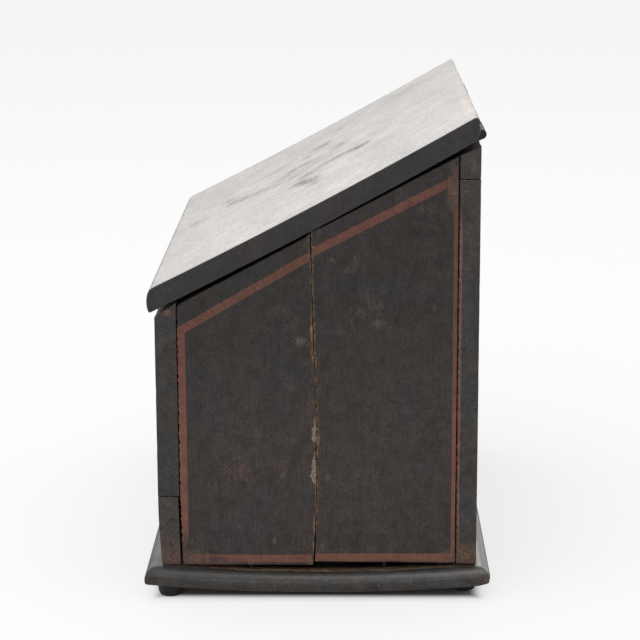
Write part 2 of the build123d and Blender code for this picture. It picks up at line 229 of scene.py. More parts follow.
def newMaterial(name):
    material = bpy.data.materials.new(name)
    material.use_nodes = True
    tree = material.node_tree
    place = tree.nodes.new("ShaderNodeTexCoord").outputs["Object"]
    return material, tree, tree.nodes["Principled BSDF"].inputs, place


def bump(shader, height, depth):
    feed(shader["Normal"], newNode("Bump", {"Height": height, "Distance": depth})[0])


def shade(red, green, blue):
    # a colour as the eye sees it, 0 to 255, made linear
    return [((c / 255 + 0.055) / 1.055) ** 2.4 if c > 10 else c / 3295 for c in (red, green, blue)] + [1.0]


# Old paint. Each board has its own look on top of this one.
paintBase = {
    "cool": shade(51, 48, 47),
    "warm": shade(54, 47, 43),
    "rubbed": shade(82, 64, 54),
    "scuffed": shade(104, 99, 93),
    "line": shade(104, 68, 57),
    "thin": shade(66, 54, 45),
    "bareDark": shade(62, 46, 34),
    "bareLight": shade(126, 103, 78),
    "filler": shade(112, 102, 88),
    "grain": (1.0, 1.0, 0.08),
    "shift": (0.0, 0.0, 0.0),
    "mottle": 28.0,  # scales of the noises, from broad to fine
    "wipe": 75.0,
    "cloudy": 160.0,
    "tickScale": 430.0,
    "speckScale": 560.0,
    "weave": 700.0,
    "powder": 1000.0,
    "splinter": 2200.0,
    "contrast": 1.0,
    "roughness": 0.58,
    "specular": 0.22,
    "coat": 0.0,
    "coatRoughness": 0.3,
    "coatVary": 0.0,  # how much wiping and grain vary the sheen
    "coatScuff": 1.0,  # how much a scuff takes off the sheen
    "loss": 0.0,
    "specks": 0.03,
    "ticks": 0.02,
    "scratches": 0.46,
    "bump": 0.10 * mm,
    "border": None,
    "lineWear": 0.25,
}


def paintMaterial(name, changes):
    look = {**paintBase, **changes}
    material, tree, shader, place = newMaterial(name)
    here = stretched(place, (1, 1, 1), look["shift"])
    along = stretched(here, look["grain"])
    grain = useGroup(grainGroup, {"Vector": along})
    fibres = grain["Fibres"]
    mottle = cloud(here, look["mottle"], 4, 0.6, 0.3)
    cloudy = cloud(here, look["cloudy"], 4, 0.65)
    powder = cloud(here, look["powder"], 2, 0.6)
    rub, seam = painted(tree, "rub"), painted(tree, "seam")

    colour = mixColour(smoothStep(mottle, 0.38, 0.64), look["cool"], look["warm"])
    layers = [(fibres, 0.36), (cloudy, 0.75), (grain["Streaks"], 0.25), (powder, 0.75)]
    colour = tinted(colour, toneOf(look["contrast"], *layers))
    # painted shade from this attribute: darker upper panels, a painted shadow on the base below the side
    # boards, and the base's dark lines; open pores darken too
    shadow = grey(minus(1.0, sumOf((painted(tree, "grime"), 0.26), (grain["Pores"], 0.25))))
    colour = tinted(colour, shadow)

    rubbed = smoothStep(sumOf(rub, (cloudy, 0.5), (powder, 0.5)), 0.72, 1.3)
    rubColour = tinted(look["rubbed"], toneOf(1.0, (fibres, 0.8), (powder, 0.9)))
    colour = mixColour(times(rubbed, 0.85), colour, rubColour)

    line = look["border"]
    if line:
        parts = splitUp(place)
        values = {key: line[key.lower()] for key in lineInputs[2:8]}
        values.update({"U": parts[line["across"]], "V": parts[line["up"]]})
        values["Ragged"] = times(minus(cloudy, 0.5), line.get("ragged", 0.9 * mm))
        worn = sumOf((rub, 0.7), (cloudy, 0.5), (powder, 0.3))
        gone = smoothStep(worn, 1.15 - look["lineWear"], 1.4 - look["lineWear"])
        faded = smoothStep(sumOf(painted(tree, "faded"), (powder, 0.5), (cloudy, 0.5)), 0.75, 1.3)
        lineMask = times(useGroup(lineGroup, values)["Mask"], minus(1.0, gone), minus(1.0, faded))
        lineColour = tinted(look["line"], toneOf(1.0, (fibres, 0.15), (cloudy, 0.4), (powder, 0.5)))
        colour = mixColour(lineMask, colour, tinted(lineColour, shadow))

    # Pale smears, one of them a painted highlight, hair scratches, specks of dust and small pale ticks
    grainy = minus(plus(fibres, cloudy, powder), 0.7)
    brokenAndHighlit = smoothStep(times(painted(tree, "scuff"), grainy), 0.12, 0.85)
    colour = mixColour(times(brokenAndHighlit, 0.6), colour, look["scuffed"])
    scratch = useGroup(scratchGroup, {"Vector": here, "Share": look["scratches"]})["Mask"]
    colour = mixColour(times(scratch, 0.35), colour, look["scuffed"])
    values = {"Vector": here, "Scale": look["speckScale"], "Share": sumOf((rub, rub, 0.22), look["specks"])}
    colour = mixColour(times(useGroup(speckGroup, values)["Mask"], 0.38), colour, look["bareLight"])
    slanted = stretched(here, (1.0, 1.5, 0.7))
    values = {"Vector": slanted, "Scale": look["tickScale"], "Share": look["ticks"]}
    ticks = times(useGroup(speckGroup, values)["Mask"], smoothStep(powder, 0.40, 0.60), 0.75)
    colour = mixColour(ticks, colour, look["scuffed"])

    # Bare wood at worn edges, along open joints and where no paint ever was; on the lid's nose it is partly
    # a painted highlight
    amount = sumOf((seam, 0.9), (rub, 0.45), look["loss"])
    values = {"Vector": here, "Arris": most(painted(tree, "arris"), seam), "Amount": amount}
    loss = useGroup(lossGroup, values)
    deep = smoothStep(sumOf((rub, 0.8), (powder, 0.4), (fibres, 0.5)), 1.12, 1.34)
    bare = most(loss["Bare"], times(deep, 0.55), painted(tree, "raw"))
    splinter = cloud(along, look["splinter"], 3, 0.7)
    chaff = smoothStep(sumOf((splinter, 0.6), (powder, 0.4)), 0.44, 0.60)
    colour = mixColour(times(loss["Thin"], 0.6), colour, look["thin"])
    colour = mixColour(bare, colour, mixColour(chaff, look["bareDark"], look["bareLight"]))
    filled = smoothStep(sumOf(painted(tree, "filler"), (cloudy, 0.9), (powder, 0.5)), 1.08, 1.2)
    putty = tinted(look["filler"], toneOf(1.0, (powder, 0.9), (splinter, 0.7)))
    feed(shader["Base Color"], mixColour(filled, colour, putty))

    dullness = sumOf(spread(cloudy, -0.07, 0.07), (brokenAndHighlit, 0.15), (bare, 0.2))
    feed(shader["Roughness"], plus(dullness, look["roughness"], clamp=True))
    shader["Specular IOR Level"].default_value = look["specular"]
    if look["coat"]:
        wipes = cloud(here, look["wipe"], 5, 0.68, 0.4)
        weave = cloud(stretched(here, (0.3, 1, 1)), look["weave"], 3, 0.7)
        vary = look["coatVary"]
        sheens = [spread(n, 1 - k * vary, 1 + k * vary) for n, k in ((wipes, 1), (weave, 1.6), (mottle, 1))]
        gloss = minus(painted(tree, "gloss"), times(brokenAndHighlit, look["coatScuff"]), clamp=True)
        sheen = times(*sheens, gloss, minus(1.0, bare), look["coat"], clamp=True)
        feed(shader["Coat Weight"], sheen)
        shader["Coat Roughness"].default_value = look["coatRoughness"]
    height = minus(sumOf((fibres, 0.3), (cloudy, 0.7)), times(bare, 0.5))
    bump(shader, sumOf(height, (lineMask, 0.3)) if line else height, look["bump"])
    return material


# Bare wood, for the inside of the boards and the underside of the base
woodBase = {
    "dark": shade(96, 71, 50),
    "light": shade(128, 98, 69),
    "pore": shade(66, 47, 32),
    "grain": (0.05, 1.0, 1.0),
    "shift": (0.0, 0.0, 0.0),
    "stain": 22.0,
    "roughness": 0.7,
    "specular": 0.25,
    "bump": 0.12 * mm,
}


def woodMaterial(name, changes):
    look = {**woodBase, **changes}
    material, tree, shader, place = newMaterial(name)
    here = stretched(place, (1, 1, 1), look["shift"])
    grain = useGroup(grainGroup, {"Vector": stretched(here, look["grain"])})
    share = sumOf((grain["Streaks"], 0.7), (grain["Fibres"], 0.3))
    colour = mixColour(smoothStep(share, 0.30, 0.70), look["dark"], look["light"])
    colour = mixColour(times(grain["Pores"], 0.6), colour, look["pore"])
    stain = spread(cloud(here, look["stain"], 3, 0.6), 0.65, 1.3)
    feed(shader["Base Color"], tinted(colour, grey(stain)))
    feed(shader["Roughness"], plus(spread(grain["Fibres"], -0.1, 0.1), look["roughness"]))
    shader["Specular IOR Level"].default_value = look["specular"]
    bump(shader, minus(share, times(grain["Pores"], 0.3)), look["bump"])
    return material


# Sizes of the case that a node's box doesn't give
caseSizes = {
    "slope": 28.1,  # degrees
    "frontLean": 1.8 * mm,
    "frontInnerLean": 0.9 * mm,
    "frontLowerHeight": 40.5 * mm,
    "leanReach": 12 * mm,
    "backTopInner": 0.2 * mm,
    "backTopOuter": -1.05 * mm,
}
slopeTan = math.tan(math.radians(caseSizes["slope"]))
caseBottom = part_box("front_lower_board")[0].z
seamHeight = caseBottom + caseSizes["frontLowerHeight"]
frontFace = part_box("front_upper_board")[0].y
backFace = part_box("back_lower_board")[1].y
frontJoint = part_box("right_side_front_board")[0].y
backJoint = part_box("right_side_rear_board")[1].y
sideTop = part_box("right_side_front_board")[1]


def slopeLine(y):
    return sideTop.z + (y - sideTop.y) * slopeTan


def rise(values, reach):
    # 0 at zero, growing to 1 at the reach
    return np.clip(values / reach, 0, 1)


def fade(values, reach):
    return 1 - rise(values, reach)


def belowSeam(z):
    # 0 at the seam of the front boards, 1 at the bottom of the case
    return rise(seamHeight - z, caseSizes["frontLowerHeight"])


# Boards are prisms along X, finely divided, with worn edges
directions = {
    "front": (0, -1, 0),
    "back": (0, 1, 0),
    "right": (1, 0, 0),
    "left": (-1, 0, 0),
    "top": (0, 0, 1),
    "bottom": (0, 0, -1),
}
boardBase = {
    "spacing": (2.5 * mm, 2.5 * mm, 2.5 * mm),  # along X, Y and Z
    "bevel": 0.3 * mm,
    "segments": 2,
    "rounds": [],  # which edges, how wide and in how many steps, in place of the bevel
    "insets": (0.8 * mm, 2.0 * mm),
    "cuts": [],
    "reach": 2.2 * mm,  # how far from an edge the wear goes
    "softDepth": 0.1 * mm,
    "chipDepth": 0.7 * mm,
    "chipStart": 0.3,
    "chipScale": 130.0,
    "seed": 0.0,
    "flatness": 0.08 * mm,
    "shape": None,
    "paintPast": 1.0,  # past this x all is painted, also inside the joints
    "chips": [],  # place, size and depth
    "cutters": [],
}


def prism(corners, xLow, xHigh):
    bm = bmesh.new()
    face = bm.faces.new([bm.verts.new((xLow, y, z)) for y, z in corners])
    grown = bmesh.ops.extrude_face_region(bm, geom=[face])["geom"]
    far = [v for v in grown if isinstance(v, bmesh.types.BMVert)]
    bmesh.ops.translate(bm, verts=far, vec=(xHigh - xLow, 0, 0))
    bmesh.ops.recalc_face_normals(bm, faces=bm.faces[:])
    return bm


def cutBy(bm, place, direction):
    everything = bm.verts[:] + bm.edges[:] + bm.faces[:]
    bmesh.ops.bisect_plane(bm, geom=everything, dist=1e-7, plane_co=place, plane_no=direction)


def mainAxis(edge):
    sizes = [abs(c) for c in edge.verts[1].co - edge.verts[0].co]
    return sizes.index(max(sizes))


def divide(bm, axis, spacing):
    longOnes = [e for e in bm.edges if e.calc_length() > 1.9 * spacing and mainAxis(e) == axis]
    if longOnes:
        longest = max(e.calc_length() for e in longOnes)
        cuts = max(1, round(longest / spacing) - 1)
        bmesh.ops.subdivide_edges(bm, edges=longOnes, cuts=cuts, use_grid_fill=True)


def distanceToLines(points, lines):
    best = np.full(len(points), 1.0)
    for start, end in lines:
        start, end = np.array(start), np.array(end)
        run = end - start
        along = rise((points - start) @ run, run @ run)
        best = np.minimum(best, np.linalg.norm(points - start - along[:, None] * run, axis=1))
    return best


def wearDown(points, normals, arris, look):
    for i in np.nonzero(arris > 0.01)[0]:
        place = Vector(points[i])
        soft = 0.55 + 0.45 * noise.noise(place * 60 + Vector((look["seed"], 0, 0)))
        spot = noise.noise(place * look["chipScale"] + Vector((0, look["seed"], 3)))
        chip = max(0.0, spot - look["chipStart"])
        depth = soft * look["softDepth"] + chip * look["chipDepth"]
        points[i] -= normals[i] * depth * arris[i] ** 2


def chipOff(points, normals, chips):
    for place, size, depth in chips:
        away = np.linalg.norm(points - np.array(place), axis=1)
        for i in np.nonzero(away < size)[0]:
            rough = 0.75 + 0.5 * noise.noise(Vector(points[i]) * 900)
            points[i] -= normals[i] * depth * (1 - (away[i] / size) ** 2) * rough


def readVectors(items, name):
    flat = np.zeros(len(items) * 3)
    items.foreach_get(name, flat)
    return flat.reshape(-1, 3)


def readPoints(mesh):
    return readVectors(mesh.vertices, "co")


def readNormals(mesh):
    return readVectors(mesh.vertex_normals, "vector")


def writeMask(mesh, name, values):
    mask = mesh.attributes.get(name) or mesh.attributes.new(name, "FLOAT", "POINT")
    mask.data.foreach_set("value", np.asarray(values, np.float32))


def spotMask(points, spots):
    # each spot is a centre, its half sizes along X, Y and Z, and its strength; their outlines waver
    points = points + 1.1 * mm * np.array([noise.noise_vector(Vector(p) * 170) for p in points])
    mask = np.zeros(len(points))
    for centre, sizes, strength in spots:
        away = np.linalg.norm((points - np.array(centre)) / np.array(sizes), axis=1)
        mask = np.maximum(mask, strength * fade(away, 1))
    return mask


def spots(*rows, x=152.5, xSize=20):
    # millimetres: y, z, their half sizes, and the strength; on the right end where no x is given
    return [
        ((x * mm, y * mm, z * mm), (xSize * mm, ySize * mm, zSize * mm), strength)
        for y, z, ySize, zSize, strength in rows
    ]


def smoothShading(mesh):
    mesh.shade_smooth()
    mesh.set_sharp_from_angle(angle=math.radians(35))


def newPiece(name, bm):
    mesh = bpy.data.meshes.new(name)
    bm.to_mesh(mesh)
    bm.free()
    piece = bpy.data.objects.new(name, mesh)
    bpy.context.scene.collection.objects.link(piece)
    return piece


def carve(piece, cutters):
    # takes boxes and round holes out of a piece
    bm = bmesh.new()
    for cutter in cutters:
        cutter(bm)
    tool = newPiece("cutter", bm)
    change = piece.modifiers.new("carve", "BOOLEAN")
    change.operation = "DIFFERENCE"
    change.solver = "EXACT"
    change.object = tool
    view = bpy.context.evaluated_depsgraph_get()
    carved = bpy.data.meshes.new_from_object(
        piece.evaluated_get(view), preserve_all_data_layers=True, depsgraph=view
    )
    piece.modifiers.clear()
    piece.data = carved
    bpy.data.objects.remove(tool)


def roundOver(bm, edges, offset, segments):
    shape = {"offset": offset, "segments": segments, "profile": 0.5, "clamp_overlap": True}
    bmesh.ops.bevel(bm, geom=edges, affect="EDGES", material=-1, **shape)


def makeBoard(name, corners, xRange, changes):
    look = {**boardBase, **changes}
    bm = prism(corners, *xRange)
    lines = [(tuple(e.verts[0].co), tuple(e.verts[1].co)) for e in bm.edges]
    for chosen, offset, segments in look["rounds"]:
        roundOver(bm, [e for e in bm.edges if chosen(e)], offset, segments)
    if not look["rounds"]:
        roundOver(bm, bm.edges[:], look["bevel"], look["segments"])
    middle = sum((Vector((0, y, z)) for y, z in corners), Vector()) / len(corners)
    for inset in look["insets"]:
        for i, corner in enumerate(corners):
            start = Vector((0, *corner))
            run = Vector((0, *corners[(i + 1) % len(corners)])) - start
            across = run.cross(Vector((1, 0, 0))).normalized()
            if across.dot(middle - start) < 0:
                across = -across
            cutBy(bm, start + across * inset, across)
        for x, side in ((xRange[0], 1), (xRange[1], -1)):
            cutBy(bm, Vector((x + side * inset, 0, 0)), Vector((1, 0, 0)))
    for axis, spacing in enumerate(look["spacing"]):
        divide(bm, axis, spacing)
    for place, direction in look["cuts"]:
        cutBy(bm, Vector(place), Vector(direction))
    piece = newPiece(name, bm)
    mesh = piece.data
    mesh.materials.append(None)  # outside
    mesh.materials.append(None)  # inside
    points = readPoints(mesh)
    normals = readNormals(mesh)
    arris = fade(distanceToLines(points, lines), look["reach"])
    writeMask(mesh, "arris", arris)
    outward = np.array([directions[side] for side in look["painted"].split()])
    inner = np.max(readVectors(mesh.polygon_normals, "vector") @ outward.T, axis=1) < 0.2
    inner &= np.abs(readVectors(mesh.polygons, "center")[:, 0]) < look["paintPast"]
    mesh.polygons.foreach_set("material_index", inner.astype(np.int32))
    wearDown(points, normals, arris, look)
    for i in range(len(points)):
        wave = noise.noise(Vector(points[i]) * 22 + Vector((look["seed"], 7, 0)))
        points[i] -= normals[i] * look["flatness"] * (0.5 + 0.5 * wave)
    if look["shape"]:
        points = look["shape"](points)
    chipOff(points, normals, look["chips"])
    mesh.vertices.foreach_set("co", points.ravel())
    mesh.update()
    if look["cutters"]:
        carve(piece, look["cutters"])
    smoothShading(piece.data)
    return piece


def dress(piece, node, body, slotName, outside, inside, **masks):
    # a mask is a list of spots or a function of the points
    points = readPoints(piece.data)
    upward = rise(readNormals(piece.data)[:, 2] - 0.35, 0.4)  # only what faces up shines
    masks.setdefault("gloss", lambda points: 1.0)
    for name, made in masks.items():
        values = made(points) if callable(made) else spotMask(points, made)
        writeMask(piece.data, name, values * upward if name == "gloss" else values)
    if not piece.data.materials:
        piece.data.materials.append(None)
    for i, material in enumerate((outside, inside)[: len(piece.data.materials)]):
        piece.data.materials[i] = material
    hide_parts(node)
    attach(piece, body)


def caseBoard(node, name, corners, changes, paint, wood, **masks):
    low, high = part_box(node)
    board = makeBoard(name, corners, (low.x, high.x), changes)
    dress(board, node, "case", "case_paint", paint, wood, **masks)


# The red line round the end panels, as it runs on the front and on the rear boards
endLine = {
    "across": 1,
    "up": 2,
    "left": -77.8 * mm,
    "right": 80.2 * mm,
    "low": 20.6 * mm,
    "width": 4.9 * mm,
    "high": 202.8 * mm,  # at y = 0
    "slope": 0.5817,
}
rearLine = {**endLine, "low": 21.4 * mm, "high": 203.9 * mm, "slope": 0.5168}

# Open glue joint of the right end: by height, where its middle runs and how wide it stands open
crackPath = [  # millimetres: z, y, width
    (18, -2.1, 0.8), (29, -1.5, 0.55), (36, -1.2, 0.4), (43, -1.0, 0.16), (58, -0.5, 0.1),
    (72, -0.2, 0.1), (86, -0.8, 0.16), (93, 0.0, 0.16), (107, -0.5, 0.1), (121, -0.7, 0.1),
    (134, -1.3, 0.1), (155, -1.9, 0.22), (169, -2.2, 0.26), (182, -2.6, 0.1), (189, -2.6, 0.14),
    (196, -3.0, 0.4), (202, -3.2, 0.5), (209, -3.4, 0.55), (215, -3.5, 0.6),
]
crackLook = {
    "fade": 7.0 * mm,
    "jag": 0.35 * mm,
    "jagScale": 190.0,
    "jagReach": 1.2 * mm,
    "bareReach": 3.0 * mm,
}
# Where the side boards meet the front and back boards the joint stands open a little
grooveLook = {
    "front": 0.3 * mm,
    "back": 0.65 * mm,
    "least": 0.05 * mm,
    "jag": 0.9 * mm,
    "jagScale": 420.0,
    "fade": 1.8 * mm,
}


def crackEdge(heights, side):
    known = [z * mm for z, middle, width in crackPath]
    edges = [(middle + side * width / 2) * mm for z, middle, width in crackPath]
    return np.interp(heights, known, edges)


def roughAlong(heights, seed, scale):
    return np.array([noise.noise(Vector((seed, 0, z)) * scale) for z in heights])


def followCrack(points, joint, side, seed):
    # bends a board's joint edge to the crack's line; side is the direction from the joint into the board
    depth = (points[:, 1] - joint) * side
    rough = np.clip(roughAlong(points[:, 2], seed, crackLook["jagScale"]), -0.1, 1)
    jag = side * crackLook["jag"] * rough * (depth < crackLook["jagReach"])
    bend = crackEdge(points[:, 2], side) - joint
    points[:, 1] += fade(depth, crackLook["fade"]) ** 2 * (bend + jag)
    return points


def openGroove(points, edge, side, opening, seed):
    # draws a board's edge back from its neighbour, raggedly
    weight = fade((points[:, 1] - edge) * side, grooveLook["fade"])
    rough = grooveLook["jag"] * roughAlong(points[:, 2], seed, grooveLook["jagScale"])
    points[:, 1] += side * weight * np.maximum(opening + rough, grooveLook["least"])
    return points


def crackMask(points, side):
    # bare wood along the open joint
    depth = (points[:, 1] - crackEdge(points[:, 2], side)) * side
    rough = roughAlong(points[:, 2], 3.0 + side, 120.0)
    return fade(depth, crackLook["bareReach"] * (1 + 0.8 * rough))


def grimeMask(points):
    # painted shade: the upper half of the panels is painted darker
    return rise(points[:, 2] - sideBoards["grimeFrom"], sideBoards["grimeOver"])


sideBoards = {
    "near": {"spacing": (2.5 * mm, 1.3 * mm, 0.9 * mm), "insets": (0.5 * mm, 1.1 * mm, 2.2 * mm)},
    "rearLifts": {"right": (1.9 * mm, 1.2 * mm, 0.9 * mm), "left": (0.3 * mm, 1.2 * mm, 0.0)},
    # where the painted shade of the upper panels begins, and over what height it deepens
    "grimeFrom": 95 * mm,
    "grimeOver": 75 * mm,
}
frontMarks = {  # millimetres: y, z, half sizes along y and z, strength
    "rub": [
        (-70, 22, 20, 10, 1.1), (-77, 34, 5, 26, 0.8), (-58, 19, 18, 6, 1.0), (-44, 74, 28, 24, 0.5),
        (-20, 76, 14, 16, 0.36), (-14, 155, 14, 30, 0.34), (-34, 150, 26, 26, 0.25),
        (-8, 38, 12, 12, 0.35), (-3, 120, 5, 90, 0.45), (-30, 21, 34, 7, 0.55), (-5, 21, 6, 4, 0.7),
    ],
    "scuff": [
        (-9, 150, 7, 5, 0.8), (-21, 168, 12, 8, 0.5), (-19, 73, 4, 4, 0.6), (-24, 34, 2.5, 6, 0.8),
        (-16, 124, 10, 9, 0.4),
    ],
    "faded": [(-76, 26, 12, 24, 1.0), (-60, 20, 20, 9, 1.0), (-45, 20, 12, 7, 0.6)],
    "filler": [
        (-1.6, 96.5, 2.2, 10, 1.0), (-2.4, 95, 1.7, 6, 0.9), (-1.6, 78, 2.0, 12, 1.0),
        (-2.7, 80, 1.8, 7, 0.95), (-2.5, 71.5, 1.8, 6, 0.9),
    ],
}
rearMarks = {
    "rub": [
        (36, 40, 22, 12, 0.4), (30, 30, 16, 8, 0.36), (60, 46, 10, 20, 0.3), (75, 236, 6, 22, 1.05),
        (64, 222, 14, 22, 0.35), (20, 190, 22, 24, 0.25), (1, 120, 4, 90, 0.4), (73, 23, 11, 9, 1.0),
        (50, 22, 34, 7, 0.5), (16, 22, 20, 6, 0.5), (30, 100, 30, 30, 0.22),
    ],
    "scuff": [
        (9, 196, 6, 5, 0.6), (22, 195, 4, 9, 0.6), (18, 190, 8, 4, 0.55), (28, 174, 18, 13, 0.45),
        (33, 170, 12, 9, 0.5), (35, 160, 7, 6, 0.62), (20, 160, 3.5, 9, 0.6), (22, 166, 20, 16, 0.38),
        (66, 169, 7, 4, 0.55), (58, 224, 7, 6, 0.45), (2, 211, 4, 4, 0.6), (47, 232, 8, 6, 0.45),
        (13, 156, 8, 6, 0.45), (6, 71, 3, 4, 0.7), (3, 30, 2.2, 5, 0.7),
    ],
    "faded": [(77, 238, 9, 22, 1.3), (77, 218, 4, 12, 0.5), (76, 22, 4, 5, 0.5)],
}


def marksFor(near, marks, side):
    # both ends get the painted shade of their upper half
    if near:
        made = {name: spots(*rows) for name, rows in marks.items()}
        return {**made, "grime": grimeMask, "seam": partial(crackMask, side=side)}
    # the far end has most of the same rubbed places, a little weaker
    chosen = {"rub": marks["rub"][:6], "faded": marks["faded"]}
    weaker = {name: [(*row[:4], 0.8 * row[4]) for row in rows] for name, rows in chosen.items()}
    return {**{name: spots(*rows, x=-152.5) for name, rows in weaker.items()}, "grime": grimeMask}


def frontShape(points, low, high, near):
    # the foot of the side boards' front edge follows the low front board
    points = openGroove(points, low.y, 1, grooveLook["front"], 7.0)
    weight = fade(points[:, 1] - low.y, caseSizes["leanReach"])
    points[:, 1] += caseSizes["frontInnerLean"] * belowSeam(points[:, 2]) * weight
    return followCrack(points, high.y, -1, 1.0) if near else points


def rearShape(points, low, near):
    return followCrack(points, low.y, 1, 5.0) if near else points


for side, xSign in (("right", 1), ("left", -1)):
    near = side == "right"
    fineness = sideBoards["near"] if near else {}
    node = f"{side}_side_front_board"
    low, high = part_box(node)
    caseBoard(
        node,
        f"{side}FrontPlank",
        [(low.y, low.z), (high.y, low.z), (high.y, high.z), (low.y, slopeLine(low.y))],
        {
            **fineness,
            "painted": side + " top front",
            "shape": partial(frontShape, low=low, high=high, near=near),
            "seed": 11.0 + xSign,
        },
        paintMaterial(f"{side}FrontPaint", {"border": endLine, "shift": (0.3 * xSign, 0.1, 0.2)}),
        woodMaterial(f"{side}FrontWood", {"grain": (1.0, 1.0, 0.05), "shift": (0.2 * xSign, 0.4, 0)}),
        **marksFor(near, frontMarks, -1),
    )
    node = f"{side}_side_rear_board"
    low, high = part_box(node)
    jointFoot, backFoot, topLift = sideBoards["rearLifts"][side]
    caseBoard(
        node,
        f"{side}RearPlank",
        [
            (low.y, caseBottom + jointFoot),
            (high.y, caseBottom + backFoot),
            (high.y, slopeLine(high.y)),
            (low.y, slopeLine(low.y) + topLift),
        ],
        {
            **fineness,
            "painted": side + " top back",
            "shape": partial(rearShape, low=low, near=near),
            "seed": 17.0 + xSign,
        },
        paintMaterial(f"{side}RearPaint", {"border": rearLine, "shift": (0.1 * xSign, 0.5, 0.7)}),
        woodMaterial(f"{side}RearWood", {"grain": (1.0, 1.0, 0.05), "shift": (0.6 * xSign, 0.1, 0)}),
        **marksFor(near, rearMarks, 1),
    )
print("side boards made")

# Nail heads lie in small pockets
nailPocket = {"x": 146.5 * mm, "radius": 1.85 * mm, "depth": 0.46 * mm, "outside": 2.0 * mm}


def nailHoles(places, side):
    # at both ends of a board, at these y and z
    direction = Vector(directions[side])
    turn = direction.to_track_quat("Z", "Y").to_matrix().to_4x4()
    hole = {"radius1": nailPocket["radius"], "radius2": nailPocket["radius"], "cap_ends": True}
    hole.update({"depth": nailPocket["depth"] + nailPocket["outside"], "segments": 20})
    out = direction * (nailPocket["outside"] - nailPocket["depth"]) / 2
    return [
        partial(bmesh.ops.create_cone, matrix=Matrix.Translation(Vector((x, y, z)) + out) @ turn, **hole)
        for x in (-nailPocket["x"], nailPocket["x"])
        for y, z in places
    ]


# Front and back boards: their ends show, so they are finely divided there and painted into the joints
endBoard = {
    "spacing": (4.0 * mm, 1.6 * mm, 0.9 * mm),
    "paintPast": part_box("right_side_front_board")[0].x - 0.1 * mm,
    "specksBelow": 235 * mm,  # none are chipped off the back joint above this height
}
frontBoards = {
    "upperNails": (55.0, 90.0, 128.0),  # heights above the bottom of the boards
    "lowerNails": (12.0, 29.0),
}
frontLine = {
    "across": 0,
    "up": 2,
    "left": -149.5 * mm,
    "right": 149.5 * mm,
    "low": 22.5 * mm,
    "width": 4.5 * mm,
    "high": 160.5 * mm,
    "slope": 0.0,
}


def frontNails(heights):
    rises = [caseBottom + height * mm for height in heights]
    return nailHoles([(frontFace + caseSizes["frontLean"] * belowSeam(z) ** 2, z) for z in rises], "front")


def jointSpecks(points, joint, reach, strength):
    # paint chipped off the near end along the joint with the side board
    chipped = strength * fade(np.abs(points[:, 1] - joint), reach) * (points[:, 0] > 0)
    return chipped * ((points[:, 2] < endBoard["specksBelow"]) | (points[:, 1] < 0))


frontSpecks = partial(jointSpecks, joint=frontJoint, reach=1.2 * mm, strength=0.42)
backSpecks = partial(jointSpecks, joint=backJoint, reach=1.6 * mm, strength=0.4)
frontLook = {"border": frontLine, "grain": (0.045, 1.0, 1.0), "shift": (0.4, 0.2, 0.1)}
frontPaint = paintMaterial("frontPaint", {**frontLook, "cool": shade(50, 50, 50), "warm": shade(53, 49, 46)})
frontWood = woodMaterial("frontWood", {})
low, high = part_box("front_upper_board")
caseBoard(
    "front_upper_board",
    "frontUpperPlank",
    [(low.y, low.z), (high.y, low.z), (high.y, high.z), (low.y, slopeLine(low.y))],
    {
        **endBoard,
        "painted": "front right left top bottom",
        "seed": 23.0,
        "cutters": frontNails(frontBoards["upperNails"]),
    },
    frontPaint,
    frontWood,
    rub=spots((-82, 166, 7, 5, 0.9), (-84, 152, 9, 3, 0.4), (-84, 66, 8, 8, 0.3))
    + spots((-90, 155, 20, 20, 0.5), x=0, xSize=110)
    + spots((-90, 90, 20, 30, 0.4), x=-80, xSize=50),
    scuff=spots((-90, 120, 20, 20, 0.5), x=50, xSize=50),
    seam=frontSpecks,
)

low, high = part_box("front_lower_board")
innerFace = high.y - caseSizes["frontInnerLean"]


def lowerFrontShape(points):
    down = belowSeam(points[:, 2])
    through = rise(points[:, 1] - low.y, innerFace - low.y)
    outer = caseSizes["frontLean"] * down**2
    inner = caseSizes["frontInnerLean"] * down
    points[:, 1] += outer * (1 - through) + inner * through
    return points


lowLook = {"shift": (0.9, 0.3, 0.6), "cool": shade(59, 56, 53), "warm": shade(70, 61, 54)}
caseBoard(
    "front_lower_board",
    "frontLowerPlank",
    [(low.y, low.z), (innerFace, low.z), (innerFace, high.z), (low.y, high.z)],
    {
        **endBoard,
        "painted": "front right left top",
        "seed": 29.0,
        "shape": lowerFrontShape,
        "cutters": frontNails(frontBoards["lowerNails"]),
    },
    paintMaterial("frontLowPaint", {**frontLook, **lowLook, "contrast": 1.15, "specks": 0.06}),
    frontWood,
    rub=spots((-83, 24, 10, 9, 0.95), (-86, 36, 20, 30, 0.48), (-80, 32, 4, 16, 0.6))
    + spots((-90, 25, 20, 12, 0.7), x=0, xSize=150),
    seam=frontSpecks,
)
print("front boards made")

# Back boards
backBoards = {
    "lowerNails": (14.0, 70.0, 125.0, 180.0),
    "topNailRise": 3.5 * mm,
}
backPaint = paintMaterial(
    "backPaint",
    {
        "border": rearLine,
        "grain": (0.045, 1.0, 1.0),
        "shift": (0.8, 0.6, 0.3),
        "line": shade(98, 71, 67),
        "lineWear": 0.56,
        "cool": shade(52, 51, 50),
        "warm": shade(56, 51, 48),
    },
)
backWood = woodMaterial("backWood", {"shift": (0.5, 0, 0.4)})


def openBackGroove(points):
    # the inner arris of the back boards' ends is worn away beside the side boards
    atEnds = np.abs(points[:, 0]) > sideTop.x - 1.5 * mm
    opened = openGroove(points.copy(), backJoint, 1, grooveLook["back"], 9.0)
    points[:, 1] = np.where(atEnds, opened[:, 1], points[:, 1])
    return points


